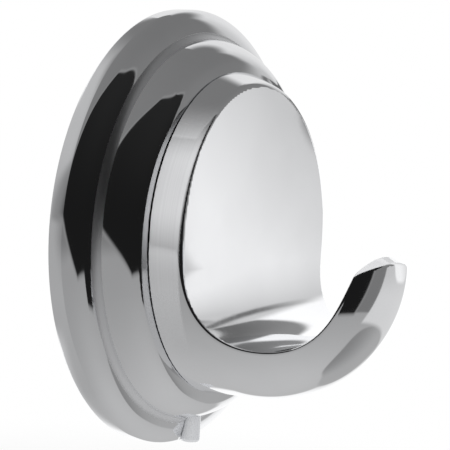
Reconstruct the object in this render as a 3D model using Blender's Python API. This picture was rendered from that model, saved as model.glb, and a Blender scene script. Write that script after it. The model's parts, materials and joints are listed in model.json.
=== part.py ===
"""Round wall hook: a stepped rosette with a scooped hook body, held on a wall bracket by one set screw.

The wall is the plane Y = 0, the hook stands out towards -Y, and Z points up. Depths are distances out
from the wall. Run it in Blender 4.5: it clears the scene and models every piece at its real size.
"""
import math

import bmesh
import bpy
from mathutils import Matrix, Vector

MM = 0.001

# Clearance between pieces that touch on the real hook
GAP = 0.3 * MM

# Rosette: a bell of two rounded steps
FLANGE_R = 38.1 * MM
RIM_WALL = 2.7 * MM
STEP_R = 32.0 * MM
STEP_DEPTH = 5.8 * MM
SEAT_R = 27.6 * MM
SHELL_WALL = 2.4 * MM
RIB_WIDTH = 4.0 * MM
RIB_ANGLES = (math.radians(55.0), math.radians(125.0))
SCREW_BOSS_WIDTH = 8.0 * MM
SCREW_BOSS_WALL = 1.5 * MM
ROOT_DEPTH = 0.3 * MM

# Hook body: a short neck, a flat face, and a dome that is scooped out into the horn
NECK_LENGTH = 4.7 * MM
FACE_R = 25.6 * MM
FACE_LEAN = math.radians(1.5)
DOME_HALF_WIDTH = 25.0 * MM
DOME_HALF_HEIGHT = 23.2 * MM
DOME_REACH = 22.6 * MM
DOME_DROP = 4.65 * MM
DOME_FROM_FACE = 3.2 * MM
SIDE_BLEND = 0.8 * MM
NECK_FADE = 1.5

# Throat between the face and the horn
THROAT_START = 5.0 * MM
THROAT_FLOOR = 17.3 * MM
THROAT_FLOOR_OUT = 11.6 * MM
THROAT_HEEL = 7.5 * MM
THROAT_TOE = 7.0 * MM
HORN_TOE = 7.5 * MM
HORN_RISE = 9.5 * MM
HORN_LEAN = math.radians(10.0)
TIP_DROP = 1.6 * MM
TIP_THICKNESS = 1.8 * MM
TIP_CROWN_R = 22.0 * MM
TIP_SLOPE = math.radians(27.0)

# Fixing of the hook body to the rosette
SPIGOT_SIDE = 13.0 * MM
FACE_SKIN = 1.7 * MM
RETAINER_R = 2.5 * MM
RETAINER_HEAD_R = 4.5 * MM
RETAINER_HEAD_H = 2.8 * MM
RETAINER_HEAD_ROOM = 1.0 * MM
RETAINER_CHAMFER = 0.6 * MM
RETAINER_KEY = 3.0 * MM
WASHER_OVERLAP = 1.6 * MM
WASHER_T = 1.1 * MM
LOCK_WASHER_R = 4.4 * MM
LOCK_WASHER_T = 1.2 * MM
LOCK_WASHER_SLIT = 0.8 * MM

# Wall bracket: a shallow cup with a flat for the set screw
BRACKET_ROOM = 1.6 * MM
BRACKET_LIP_ROOM = 0.8 * MM
BRACKET_WALL = 3.5 * MM
BRACKET_BASE = 2.6 * MM
BRACKET_FLAT_WALL = 2.0 * MM
HOLE_ROOM = 0.5 * MM

# Wall screws and their plugs, one pair above the other
SCREW_TO_LIP = 3.6 * MM
WALL_SCREW_R = 1.9 * MM
WALL_SCREW_HEAD_R = 3.9 * MM
WALL_SCREW_HEAD_H = 2.5 * MM
WALL_SCREW_HEAD_ROUND = 1.3 * MM
WALL_SCREW_HEAD_CROWN = 0.3 * MM
WALL_SCREW_LENGTH = 25.0 * MM
WALL_SCREW_POINT = 4.5 * MM
CROSS_SLOT_WIDTH = 0.9 * MM
CROSS_SLOT_LENGTH = 4.4 * MM
CROSS_SLOT_DEPTH = 1.4 * MM
ANCHOR_WALL = 1.1 * MM
ANCHOR_LENGTH = 19.0 * MM
ANCHOR_COLLAR_OUT = 0.5 * MM
ANCHOR_COLLAR_T = 0.8 * MM
ANCHOR_BARBS = 5
ANCHOR_BARB_DEPTH = 0.4 * MM
ANCHOR_END_TAPER = 0.6 * MM
ANCHOR_SLIT = 0.9 * MM
ANCHOR_SLIT_LENGTH = 12.0 * MM

# Set screw under the rosette
SET_SCREW_R = 1.7 * MM
SET_SCREW_END_R = 1.45 * MM
SET_SCREW_END_LENGTH = 2.3 * MM
SET_SCREW_PROUD = 0.4 * MM
SET_SCREW_TRAVEL_IN = 3.0 * MM
SET_SCREW_KEY = 1.7 * MM
SET_SCREW_KEY_DEPTH = 2.0 * MM
SET_SCREW_ROUND = 0.5 * MM
SET_SCREW_CHAMFER = 0.4 * MM

# Facets round a turn
COARSE = 48
FINE = 96
HOOK_AROUND = 72
NECK_RINGS = 6
DOME_RINGS = 20
CURVE_POINTS = 14

# Places worked out from the sizes above, from the bracket's floor out to the horn
RETAINER_BACK = BRACKET_BASE + RETAINER_HEAD_ROOM
RETAINER_SEAT = RETAINER_BACK + RETAINER_HEAD_H
LOCK_WASHER_BACK = RETAINER_SEAT + GAP
LOCK_WASHER_FRONT = LOCK_WASHER_BACK + LOCK_WASHER_T
WASHER_BACK = LOCK_WASHER_FRONT + GAP
WASHER_FRONT = WASHER_BACK + WASHER_T
PLATE_BACK = WASHER_FRONT + GAP
SEAT_DEPTH = PLATE_BACK + SHELL_WALL
HOOK_BACK = SEAT_DEPTH + GAP
FACE_DEPTH = HOOK_BACK + NECK_LENGTH
DOME_DEPTH = FACE_DEPTH + DOME_FROM_FACE
DOME_FRONT = DOME_DEPTH + DOME_REACH
SPIGOT_HOLE = SPIGOT_SIDE + 2 * GAP
WASHER_R = SPIGOT_HOLE / math.sqrt(2) + WASHER_OVERLAP
BRACKET_R = SEAT_R - BRACKET_ROOM
BRACKET_DEPTH = PLATE_BACK - BRACKET_LIP_ROOM
BRACKET_FLAT = BRACKET_R - BRACKET_WALL + BRACKET_FLAT_WALL
ANCHOR_R = WALL_SCREW_R + GAP + ANCHOR_WALL
ANCHOR_COLLAR_R = ANCHOR_R + ANCHOR_COLLAR_OUT
SCREW_HEIGHT = BRACKET_R - BRACKET_WALL - SCREW_TO_LIP - WALL_SCREW_HEAD_R
SCREW_HEIGHTS = {"upper": SCREW_HEIGHT, "lower": -SCREW_HEIGHT}
SET_SCREW_TIP = BRACKET_FLAT + GAP + SET_SCREW_TRAVEL_IN
SET_SCREW_FOOT = FLANGE_R - SET_SCREW_PROUD


def clear_scene():
    for item in list(bpy.data.objects):
        bpy.data.objects.remove(item, do_unlink=True)


def make_material(name, colour, roughness, metallic):
    material = bpy.data.materials.new(name)
    material.use_nodes = True
    shader = material.node_tree.nodes["Principled BSDF"]
    shader.inputs["Base Color"].default_value = (*colour, 1.0)
    shader.inputs["Roughness"].default_value = roughness
    shader.inputs["Metallic"].default_value = metallic
    return material


def add_object(name, mesh, material=None):
    item = bpy.data.objects.new(name, mesh)
    bpy.context.scene.collection.objects.link(item)
    if material:
        mesh.materials.append(material)
    return item


def mesh_from(name, points, faces):
    mesh = bpy.data.meshes.new(name)
    mesh.from_pydata(points, [], faces)
    work = bmesh.new()
    work.from_mesh(mesh)
    bmesh.ops.recalc_face_normals(work, faces=work.faces)
    work.to_mesh(mesh)
    work.free()
    return mesh


def shade_smooth(item, angle=math.radians(35.0)):
    item.data.shade_smooth()
    item.data.set_sharp_from_angle(angle=angle)


def out_of_wall(x, depth, z):
    """A point at a depth out from the wall."""
    return (x, -depth, z)


def turned(name, profile, material, steps):
    """A closed profile of (radius, depth) turned about the hook's axis, depth running out from the wall."""
    mesh = bpy.data.meshes.new(name)
    count = len(profile)
    edges = [(i, (i + 1) % count) for i in range(count)]
    mesh.from_pydata([(radius, 0.0, depth) for radius, depth in profile], edges, [])
    item = add_object(name, mesh, material)
    item.rotation_euler = (math.radians(90.0), 0.0, 0.0)
    screw = item.modifiers.new("Turn", "SCREW")
    screw.axis = "Z"
    screw.steps = steps
    screw.render_steps = steps
    screw.use_merge_vertices = True
    screw.merge_threshold = 0.00001
    screw.use_smooth_shade = True
    return item


def cutter(name, mesh):
    item = add_object(name, mesh)
    item.hide_render = True
    item.display_type = "WIRE"
    return item


def box_mesh(name, low, high):
    xs, ys, zs = zip(low, high)
    points = [(x, y, z) for x in xs for y in ys for z in zs]
    faces = [(0, 1, 3, 2), (4, 6, 7, 5), (0, 4, 5, 1), (2, 3, 7, 6), (0, 2, 6, 4), (1, 5, 7, 3)]
    return mesh_from(name, points, faces)


def bar_mesh(name, radius, start, end, sides):
    """A bar of round or polygonal section between two points, with a flat and not a corner towards its side."""
    start, end = Vector(start), Vector(end)
    turn = (end - start).to_track_quat("Z", "Y").to_matrix().to_4x4()
    half_facet = Matrix.Rotation(math.pi / sides, 4, "Z")
    place = Matrix.Translation((start + end) / 2) @ turn @ half_facet
    work = bmesh.new()
    bmesh.ops.create_cone(
        work, cap_ends=True, segments=sides, radius1=radius, radius2=radius,
        depth=(end - start).length, matrix=place,
    )
    mesh = bpy.data.meshes.new(name)
    work.to_mesh(mesh)
    work.free()
    return mesh


def combine(item, other, operation):
    boolean = item.modifiers.new(other.name, "BOOLEAN")
    boolean.operation = operation
    boolean.solver = "EXACT"
    boolean.object = other


def cut(item, mesh, name):
    combine(item, cutter(name, mesh), "DIFFERENCE")


def join(item, mesh, name):
    combine(item, cutter(name, mesh), "UNION")


def round_over(outer, inner, start, end):
    """A quarter ellipse from the wall of a step to the flat in front of it, as (radius, depth)."""
    points = []
    for i in range(CURVE_POINTS + 1):
        turn = math.pi / 2 * i / CURVE_POINTS
        radius = inner + (outer - inner) * math.cos(turn)
        points.append((radius, start + (end - start) * math.sin(turn)))
    return points


def rosette_profile():
    """The bell's section: down the outside from the seat to the rim, and back up the inside."""
    hole_r = SPIGOT_SIDE / 4
    outside = [(hole_r, SEAT_DEPTH)]
    outside += reversed(round_over(STEP_R, SEAT_R, STEP_DEPTH, SEAT_DEPTH))
    outside += reversed(round_over(FLANGE_R, STEP_R, RIM_WALL, STEP_DEPTH)[:-1])
    outside.append((FLANGE_R, 0.0))
    inner_rim = max(RIM_WALL - SHELL_WALL, GAP)
    inside = [(FLANGE_R - SHELL_WALL, 0.0)]
    inside += round_over(FLANGE_R - SHELL_WALL, STEP_R, inner_rim, STEP_DEPTH - SHELL_WALL)
    inside += round_over(STEP_R - SHELL_WALL, SEAT_R, STEP_DEPTH - SHELL_WALL, PLATE_BACK)
    inside.append((hole_r, PLATE_BACK))
    return outside + inside


def rib_mesh(name, angle):
    """A rib inside the bell that centres it on the bracket."""
    inner = BRACKET_R + GAP
    outer = STEP_R - SHELL_WALL + ROOT_DEPTH
    low = (inner, -PLATE_BACK - ROOT_DEPTH, -RIB_WIDTH / 2)
    high = (outer, -STEP_DEPTH + SHELL_WALL - ROOT_DEPTH, RIB_WIDTH / 2)
    mesh = box_mesh(name, low, high)
    mesh.transform(Matrix.Rotation(-angle, 4, "Y"))
    return mesh


def screw_boss_mesh(name):
    """The lump inside the bell that holds the set screw's thread."""
    half = SCREW_BOSS_WIDTH / 2
    back = STEP_DEPTH - SET_SCREW_R - GAP - SCREW_BOSS_WALL
    inner = BRACKET_FLAT + 2 * GAP
    low = (-half, -PLATE_BACK - ROOT_DEPTH, -STEP_R + SHELL_WALL - ROOT_DEPTH)
    high = (half, -back, -inner)
    return box_mesh(name, low, high)


def make_rosette(material):
    rosette = turned("rosette", rosette_profile(), material, FINE)
    for i, angle in enumerate(RIB_ANGLES):
        join(rosette, rib_mesh(f"rib_{i}", angle), f"rib_{i}")
    join(rosette, screw_boss_mesh("screw_boss"), "screw_boss")
    half = SPIGOT_HOLE / 2
    hole = box_mesh("spigot_hole", (-half, -SEAT_DEPTH - GAP, -half), (half, -PLATE_BACK + GAP, half))
    cut(rosette, hole, "spigot_hole")
    top = out_of_wall(0.0, STEP_DEPTH, -BRACKET_FLAT)
    foot = out_of_wall(0.0, STEP_DEPTH, -FLANGE_R - GAP)
    bore = bar_mesh("set_screw_bore", SET_SCREW_R + GAP, top, foot, COARSE)
    cut(rosette, bore, "set_screw_bore")
    return rosette


def ray_to_oval(turn, middle, centre, half_width, half_height):
    """How far an oval's edge is from a point inside it on the X = 0 line, in one direction."""
    along = Vector((math.cos(turn) / half_width, math.sin(turn) / half_height))
    start = Vector((0.0, (middle - centre) / half_height))
    a = along.dot(along)
    b = along.dot(start)
    c = start.dot(start) - 1.0
    return (-b + math.sqrt(max(b * b - a * c, 0.0))) / a


def neck_radius(depth):
    """The neck narrows to the face, and past the face it fades inside the dome."""
    share = (depth - HOOK_BACK) / NECK_LENGTH
    if depth <= FACE_DEPTH:
        return SEAT_R + (FACE_R - SEAT_R) * share
    return max(FACE_R - NECK_FADE * (depth - FACE_DEPTH), FACE_R / 8)


def dome_share(depth):
    """How much of the dome's full section is left at a depth."""
    past = max(depth - DOME_DEPTH, 0.0) / DOME_REACH
    return math.sqrt(max(1.0 - past * past, 0.0))


def middle_line(depth):
    """Height of the rings' centre: on the axis at the back, on the dome's centre in front."""
    share = min(max((depth - HOOK_BACK) / (DOME_DEPTH - HOOK_BACK), 0.0), 1.0)
    return -DOME_DROP * share * share * (3.0 - 2.0 * share)


def hook_ring(depth):
    """One closed section of the uncut hook body: neck and dome blended round their edge."""
    middle = middle_line(depth)
    share = dome_share(depth)
    ring = []
    for i in range(HOOK_AROUND):
        turn = 2.0 * math.pi * i / HOOK_AROUND
        dome = ray_to_oval(turn, middle, -DOME_DROP, DOME_HALF_WIDTH * share, DOME_HALF_HEIGHT * share)
        radius = dome
        neck_r = neck_radius(depth)
        if abs(middle) < neck_r:
            neck = ray_to_oval(turn, middle, 0.0, neck_r, neck_r)
            soft = math.sqrt((neck - dome) ** 2 + (SIDE_BLEND * share) ** 2)
            radius = (neck + dome + soft) / 2
        ring.append(out_of_wall(radius * math.cos(turn), depth, middle + radius * math.sin(turn)))
    return ring


def ring_depths():
    neck = [HOOK_BACK + (FACE_DEPTH - HOOK_BACK) * i / NECK_RINGS for i in range(NECK_RINGS)]
    shoulder = [FACE_DEPTH + (DOME_DEPTH - FACE_DEPTH) * i / 3 for i in range(3)]
    dome = [DOME_DEPTH + DOME_REACH * math.sin(math.pi / 2 * i / DOME_RINGS) for i in range(DOME_RINGS)]
    return neck + shoulder + dome


def blank_mesh():
    """The hook body before the throat is cut."""
    rings = [hook_ring(depth) for depth in ring_depths()]
    points = [point for ring in rings for point in ring]
    faces = [tuple(range(HOOK_AROUND))]
    for row in range(len(rings) - 1):
        for i in range(HOOK_AROUND):
            j = (i + 1) % HOOK_AROUND
            a = row * HOOK_AROUND
            b = a + HOOK_AROUND
            faces += [(a + i, a + j, b + j), (a + i, b + j, b + i)]
    nose = len(points)
    points.append(out_of_wall(0.0, DOME_FRONT, -DOME_DROP))
    last = nose - HOOK_AROUND
    faces += [(last + i, last + (i + 1) % HOOK_AROUND, nose) for i in range(HOOK_AROUND)]
    return mesh_from("hook_body", points, faces)


def bezier(a, b, c, d, count):
    points = []
    for i in range(count + 1):
        t = i / count
        u = 1.0 - t
        weights = (u ** 3, 3 * u * u * t, 3 * u * t * t, t ** 3)
        points.append(tuple(sum(w * p[k] for w, p in zip(weights, (a, b, c, d))) for k in range(2)))
    return points


def face_depth_at(z):
    return FACE_DEPTH - math.tan(FACE_LEAN) * z


def dome_front_at(z):
    """Depth of the dome's front on its middle line, at a height."""
    up = (z + DOME_DROP) / DOME_HALF_HEIGHT
    return DOME_DEPTH + DOME_REACH * math.sqrt(max(1.0 - up * up, 0.0))


def throat_outline():
    """The throat in side view, as (depth, height): down the face, round the floor and up the horn."""
    above = FLANGE_R
    heel = (face_depth_at(-THROAT_START), -THROAT_START)
    heel_pull = (face_depth_at(-THROAT_START - THROAT_HEEL), -THROAT_START - THROAT_HEEL)
    floor_depth = FACE_DEPTH + THROAT_FLOOR_OUT
    floor = (floor_depth, -THROAT_FLOOR)
    tip = (dome_front_at(-TIP_DROP) - TIP_THICKNESS, -TIP_DROP)
    lean = (math.sin(HORN_LEAN), math.cos(HORN_LEAN))
    tip_pull = (tip[0] - HORN_RISE * lean[0], tip[1] - HORN_RISE * lean[1])
    beyond = (tip[0] + (above - tip[1]) * math.tan(HORN_LEAN), above)
    outline = [(face_depth_at(above), above)]
    outline += bezier(heel, heel_pull, (floor_depth - THROAT_TOE, -THROAT_FLOOR), floor, CURVE_POINTS)
    outline += bezier(floor, (floor_depth + HORN_TOE, -THROAT_FLOOR), tip_pull, tip, CURVE_POINTS)[1:]
    outline.append(beyond)
    return outline


def prism_mesh(name, outline, half_width):
    """A side-view outline of (depth, height) run across the hook along X."""
    count = len(outline)
    left = [out_of_wall(-half_width, depth, z) for depth, z in outline]
    right = [out_of_wall(half_width, depth, z) for depth, z in outline]
    faces = [tuple(range(count)), tuple(reversed(range(count, 2 * count)))]
    faces += [(i, (i + 1) % count, count + (i + 1) % count, count + i) for i in range(count)]
    return mesh_from(name, left + right, faces)


def crown_mesh(name):
    """What is cut off above the horn's rounded tip: a block with an arched underside that slopes forward."""
    half = DOME_HALF_WIDTH + GAP
    top = FLANGE_R
    steps = 2 * CURVE_POINTS
    arch = []
    for i in range(steps + 1):
        x = -half + 2 * half * i / steps
        drop = TIP_CROWN_R - math.sqrt(max(TIP_CROWN_R ** 2 - min(abs(x), 0.9 * TIP_CROWN_R) ** 2, 0.0))
        arch.append((x, -drop))
    section = arch + [(half, top), (-half, top)]
    inner_edge = dome_front_at(-TIP_DROP) - TIP_THICKNESS
    back = -TIP_THICKNESS
    front = 3 * TIP_THICKNESS + GAP
    points = []
    for depth in (back, front):
        fall = math.tan(TIP_SLOPE) * max(depth, back)
        points += [out_of_wall(x, inner_edge + depth, -TIP_DROP + z - fall) for x, z in section]
    count = len(section)
    faces = [tuple(range(count)), tuple(reversed(range(count, 2 * count)))]
    faces += [(i, (i + 1) % count, count + (i + 1) % count, count + i) for i in range(count)]
    return mesh_from(name, points, faces)


def make_hook_body(material):
    hook = add_object("hook_body", blank_mesh(), material)
    shade_smooth(hook)
    cut(hook, prism_mesh("throat", throat_outline(), FLANGE_R), "throat")
    cut(hook, crown_mesh("crown"), "crown")
    half = SPIGOT_SIDE / 2
    back = WASHER_FRONT + 2 * GAP
    spigot = box_mesh("spigot", (-half, -HOOK_BACK - GAP, -half), (half, -back, half))
    join(hook, spigot, "spigot")
    bore_end = face_depth_at(0.0) - FACE_SKIN
    start = out_of_wall(0.0, PLATE_BACK - SHELL_WALL, 0.0)
    bore = bar_mesh("retainer_bore", RETAINER_R + GAP, start, out_of_wall(0.0, bore_end, 0.0), COARSE)
    cut(hook, bore, "retainer_bore")
    return hook


def ring_section(outer, front, back):
    inner = RETAINER_R + GAP
    return [(inner, front), (outer, front), (outer, back), (inner, back)]


def make_washer(material):
    return turned("retaining_washer", ring_section(WASHER_R, WASHER_FRONT, WASHER_BACK), material, COARSE)


def make_lock_washer(material):
    """A split ring between the screw's head and the flat washer."""
    section = ring_section(LOCK_WASHER_R, LOCK_WASHER_FRONT, LOCK_WASHER_BACK)
    washer = turned("lock_washer", section, material, COARSE)
    half = LOCK_WASHER_SLIT / 2
    low = (-half, -LOCK_WASHER_FRONT - GAP, RETAINER_R / 2)
    high = (half, -LOCK_WASHER_BACK + GAP, LOCK_WASHER_R + GAP)
    cut(washer, box_mesh("lock_washer_slit", low, high), "lock_washer_slit")
    return washer


def make_retaining_screw(material):
    """A cap screw put in from behind, with a hexagon socket that faces the wall."""
    tip = face_depth_at(0.0) - FACE_SKIN - GAP
    section = [
        (0.0, tip),
        (RETAINER_R - RETAINER_CHAMFER, tip),
        (RETAINER_R, tip - RETAINER_CHAMFER),
        (RETAINER_R, RETAINER_SEAT),
        (RETAINER_HEAD_R, RETAINER_SEAT),
        (RETAINER_HEAD_R, RETAINER_BACK + RETAINER_CHAMFER),
        (RETAINER_HEAD_R - RETAINER_CHAMFER, RETAINER_BACK),
        (0.0, RETAINER_BACK),
    ]
    screw = turned("retaining_screw", section, material, COARSE)
    socket_end = out_of_wall(0.0, RETAINER_BACK + RETAINER_HEAD_H / 2, 0.0)
    start = out_of_wall(0.0, RETAINER_BACK - GAP, 0.0)
    cut(screw, bar_mesh("retainer_key", RETAINER_KEY / math.sqrt(3), start, socket_end, 6), "retainer_key")
    return screw


def make_bracket(material):
    back = out_of_wall(0.0, 0.0, 0.0)
    front = out_of_wall(0.0, BRACKET_DEPTH, 0.0)
    bracket = add_object("wall_bracket", bar_mesh("wall_bracket", BRACKET_R, back, front, FINE), material)
    shade_smooth(bracket)
    floor = out_of_wall(0.0, BRACKET_BASE, 0.0)
    mouth = out_of_wall(0.0, BRACKET_DEPTH + GAP, 0.0)
    cut(bracket, bar_mesh("bracket_cavity", BRACKET_R - BRACKET_WALL, floor, mouth, FINE), "bracket_cavity")
    low = (-BRACKET_R, -BRACKET_DEPTH - GAP, -BRACKET_R - GAP)
    cut(bracket, box_mesh("bracket_flat", low, (BRACKET_R, GAP, -BRACKET_FLAT)), "bracket_flat")
    for place, z in SCREW_HEIGHTS.items():
        hole = bar_mesh(
            f"screw_hole_{place}", WALL_SCREW_R + HOLE_ROOM,
            out_of_wall(0.0, -GAP, z), out_of_wall(0.0, BRACKET_BASE + GAP, z), COARSE,
        )
        cut(bracket, hole, f"screw_hole_{place}")
        recess = bar_mesh(
            f"collar_recess_{place}", ANCHOR_COLLAR_R + GAP,
            out_of_wall(0.0, -GAP, z), out_of_wall(0.0, ANCHOR_COLLAR_T + GAP, z), COARSE,
        )
        cut(bracket, recess, f"collar_recess_{place}")
    return bracket


def make_wall_screw(name, z, material):
    """A pan-head wood screw with a cross slot, driven through the bracket into its plug."""
    seat = BRACKET_BASE + GAP
    head = seat + WALL_SCREW_HEAD_H
    section = [
        (0.0, head),
        (WALL_SCREW_HEAD_R - WALL_SCREW_HEAD_ROUND, head - WALL_SCREW_HEAD_CROWN),
        (WALL_SCREW_HEAD_R, head - WALL_SCREW_HEAD_ROUND),
        (WALL_SCREW_HEAD_R, seat),
        (WALL_SCREW_R, seat),
        (WALL_SCREW_R, seat - WALL_SCREW_LENGTH + WALL_SCREW_POINT),
        (0.0, seat - WALL_SCREW_LENGTH),
    ]
    screw = turned(name, section, material, COARSE)
    screw.location.z = z
    half = CROSS_SLOT_WIDTH / 2
    reach = CROSS_SLOT_LENGTH / 2
    front = -head - GAP
    floor = -head + CROSS_SLOT_DEPTH
    across = box_mesh(f"{name}_slot_across", (-reach, front, z - half), (reach, floor, z + half))
    upright = box_mesh(f"{name}_slot_upright", (-half, front, z - reach), (half, floor, z + reach))
    cut(screw, across, f"{name}_slot_across")
    cut(screw, upright, f"{name}_slot_upright")
    return screw


def anchor_profile():
    """Section of a wall plug: a collar, a barrel with saw-tooth barbs, and a bore for the screw."""
    inner = WALL_SCREW_R + GAP
    valley = ANCHOR_R - ANCHOR_BARB_DEPTH
    end = ANCHOR_COLLAR_T - ANCHOR_LENGTH
    pitch = -end / (ANCHOR_BARBS + 1)
    section = [(inner, ANCHOR_COLLAR_T), (ANCHOR_COLLAR_R, ANCHOR_COLLAR_T), (ANCHOR_COLLAR_R, 0.0)]
    section.append((valley, 0.0))
    for i in range(ANCHOR_BARBS):
        shoulder = -pitch * (i + 1)
        section += [(valley, shoulder), (ANCHOR_R, shoulder)]
    section += [(ANCHOR_R - ANCHOR_END_TAPER, end), (inner, end)]
    return section


def make_anchor(name, z, material):
    """A split plug in the wall, which its screw spreads."""
    anchor = turned(name, anchor_profile(), material, COARSE)
    anchor.location.z = z
    half = ANCHOR_SLIT / 2
    reach = ANCHOR_R + GAP
    end = ANCHOR_LENGTH - ANCHOR_COLLAR_T
    low = (-half, end - ANCHOR_SLIT_LENGTH, z - reach)
    cut(anchor, box_mesh(f"{name}_slit", low, (half, end + GAP, z + reach)), f"{name}_slit")
    return anchor


def make_set_screw(material):
    """The socket screw that comes up through the rosette's step and locks it on the bracket."""
    length = SET_SCREW_FOOT - SET_SCREW_TIP
    section = [(0.0, length), (SET_SCREW_R - SET_SCREW_CHAMFER, length)]
    section.append((SET_SCREW_R, length - SET_SCREW_CHAMFER))
    section.append((SET_SCREW_R, SET_SCREW_END_LENGTH))
    section.append((SET_SCREW_END_R, SET_SCREW_END_LENGTH))
    inner = SET_SCREW_END_R - SET_SCREW_ROUND
    for i in range(5):
        turn = math.pi / 2 * i / 4
        radius = inner + SET_SCREW_ROUND * math.cos(turn)
        section.append((radius, SET_SCREW_ROUND - SET_SCREW_ROUND * math.sin(turn)))
    section.append((0.0, 0.0))
    screw = turned("set_screw", section, material, COARSE)
    screw.rotation_euler = (0.0, 0.0, 0.0)
    foot = out_of_wall(0.0, STEP_DEPTH, -SET_SCREW_FOOT)
    screw.location = foot
    below = Vector(foot) - Vector((0.0, 0.0, GAP))
    key_end = Vector(foot) + Vector((0.0, 0.0, SET_SCREW_KEY_DEPTH))
    cut(screw, bar_mesh("set_screw_key", SET_SCREW_KEY / math.sqrt(3), below, key_end, 6), "set_screw_key")
    return screw


def main():
    clear_scene()
    make_rosette(make_material("rosette_chrome", (0.79, 0.79, 0.81), 0.06, 1.0))
    make_hook_body(make_material("hook_chrome", (0.80, 0.80, 0.82), 0.05, 1.0))
    make_retaining_screw(make_material("retaining_screw_zinc", (0.55, 0.56, 0.58), 0.35, 1.0))
    make_washer(make_material("washer_zinc", (0.60, 0.61, 0.62), 0.4, 1.0))
    make_lock_washer(make_material("lock_washer_steel", (0.45, 0.45, 0.46), 0.35, 1.0))
    make_bracket(make_material("bracket_zinc", (0.50, 0.51, 0.53), 0.45, 1.0))
    for place, z in SCREW_HEIGHTS.items():
        steel = make_material(f"wall_screw_{place}_zinc", (0.62, 0.60, 0.52), 0.35, 1.0)
        make_wall_screw(f"wall_screw_{place}", z, steel)
        nylon = make_material(f"wall_anchor_{place}_nylon", (0.55, 0.56, 0.58), 0.55, 0.0)
        make_anchor(f"wall_anchor_{place}", z, nylon)
    make_set_screw(make_material("set_screw_steel", (0.70, 0.71, 0.73), 0.2, 1.0))


main()
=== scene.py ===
"""Looks of the round wall hook: chrome rosette and hook body, and the fixings behind them, in a pale studio.

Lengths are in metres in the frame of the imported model: the wall is Y = 0, the hook stands out towards -Y, Z is up.
The shape code works in millimetres with (x, depth, z), where depth is the distance out from the wall.
"""
import functools
import json
import math

import bmesh
import bpy
import numpy as np
from mathutils import Matrix, Vector

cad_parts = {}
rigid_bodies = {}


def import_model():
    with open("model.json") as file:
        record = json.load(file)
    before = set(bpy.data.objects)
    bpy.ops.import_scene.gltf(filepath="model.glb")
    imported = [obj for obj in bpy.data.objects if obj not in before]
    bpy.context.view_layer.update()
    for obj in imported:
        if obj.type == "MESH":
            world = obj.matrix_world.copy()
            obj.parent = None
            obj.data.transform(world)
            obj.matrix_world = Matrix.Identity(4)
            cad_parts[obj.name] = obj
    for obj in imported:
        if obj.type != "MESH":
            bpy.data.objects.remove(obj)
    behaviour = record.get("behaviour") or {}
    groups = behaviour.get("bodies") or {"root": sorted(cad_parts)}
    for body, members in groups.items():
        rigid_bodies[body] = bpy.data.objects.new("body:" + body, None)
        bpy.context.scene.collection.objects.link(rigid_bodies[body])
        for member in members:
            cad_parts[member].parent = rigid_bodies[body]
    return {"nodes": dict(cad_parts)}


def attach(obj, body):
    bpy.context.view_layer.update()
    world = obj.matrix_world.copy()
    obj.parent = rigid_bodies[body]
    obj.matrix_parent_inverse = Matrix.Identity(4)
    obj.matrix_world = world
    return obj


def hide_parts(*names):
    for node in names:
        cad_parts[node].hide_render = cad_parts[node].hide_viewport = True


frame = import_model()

for leftover in list(bpy.data.objects):
    if leftover.type in ("CAMERA", "LIGHT") or (leftover.type == "MESH" and leftover.name not in frame["nodes"]):
        bpy.data.objects.remove(leftover)
bpy.context.view_layer.update()
MM = 0.001
GAP = 0.3

# Rosette
FLANGE_R = 38.1
RIM_WALL = 2.7
RIM_EDGE = 0.35
STEP_R = 32.0
STEP_DEPTH = 5.8
CREASE_R = 0.9
SEAT_R = 27.6
SEAT_DEPTH = 12.0
TIER_R = 33.2
RING_LEAN = math.radians(8.0)
SHELL_WALL = 2.4
PLATE_BACK = SEAT_DEPTH - SHELL_WALL
RIB_WIDTH = 4.0
RIB_ANGLES = (math.radians(55.0), math.radians(125.0))
SCREW_BOSS_WIDTH = 8.0
SCREW_BOSS_WALL = 1.5
CAST_FILLET = 0.4
BORE_EDGE = 0.2

# Hook body
HOOK_BACK = SEAT_DEPTH + GAP
NECK_LENGTH = 4.7
FACE_DEPTH = HOOK_BACK + NECK_LENGTH
FACE_R = 25.6
NECK_TAPER = (SEAT_R - FACE_R) / NECK_LENGTH
FACE_LEAN = math.radians(1.5)
DOME_HALF_WIDTH = 25.0
DOME_HALF_HEIGHT = 23.2
DOME_REACH = 22.6
DOME_DROP = 4.65
DOME_DEPTH = FACE_DEPTH + 3.2
SIDE_BLEND = 0.8
NECK_FADE = 1.5
BACK_EDGE = 0.12
THROAT_EDGE = 0.6
TIP_EDGE = 0.25
SEAM = 0.1

# Throat and tip of the horn
THROAT_START = 5.0
THROAT_FLOOR = 17.3
THROAT_FLOOR_OUT = 11.6
THROAT_HEEL = 7.5
THROAT_TOE = 7.0
HORN_TOE = 7.5
HORN_RISE = 9.5
HORN_LEAN = math.radians(10.0)
TIP_DROP = 1.6
TIP_THICKNESS = 1.8
TIP_CROWN_R = 22.0
TIP_SLOPE = math.radians(27.0)

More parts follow.
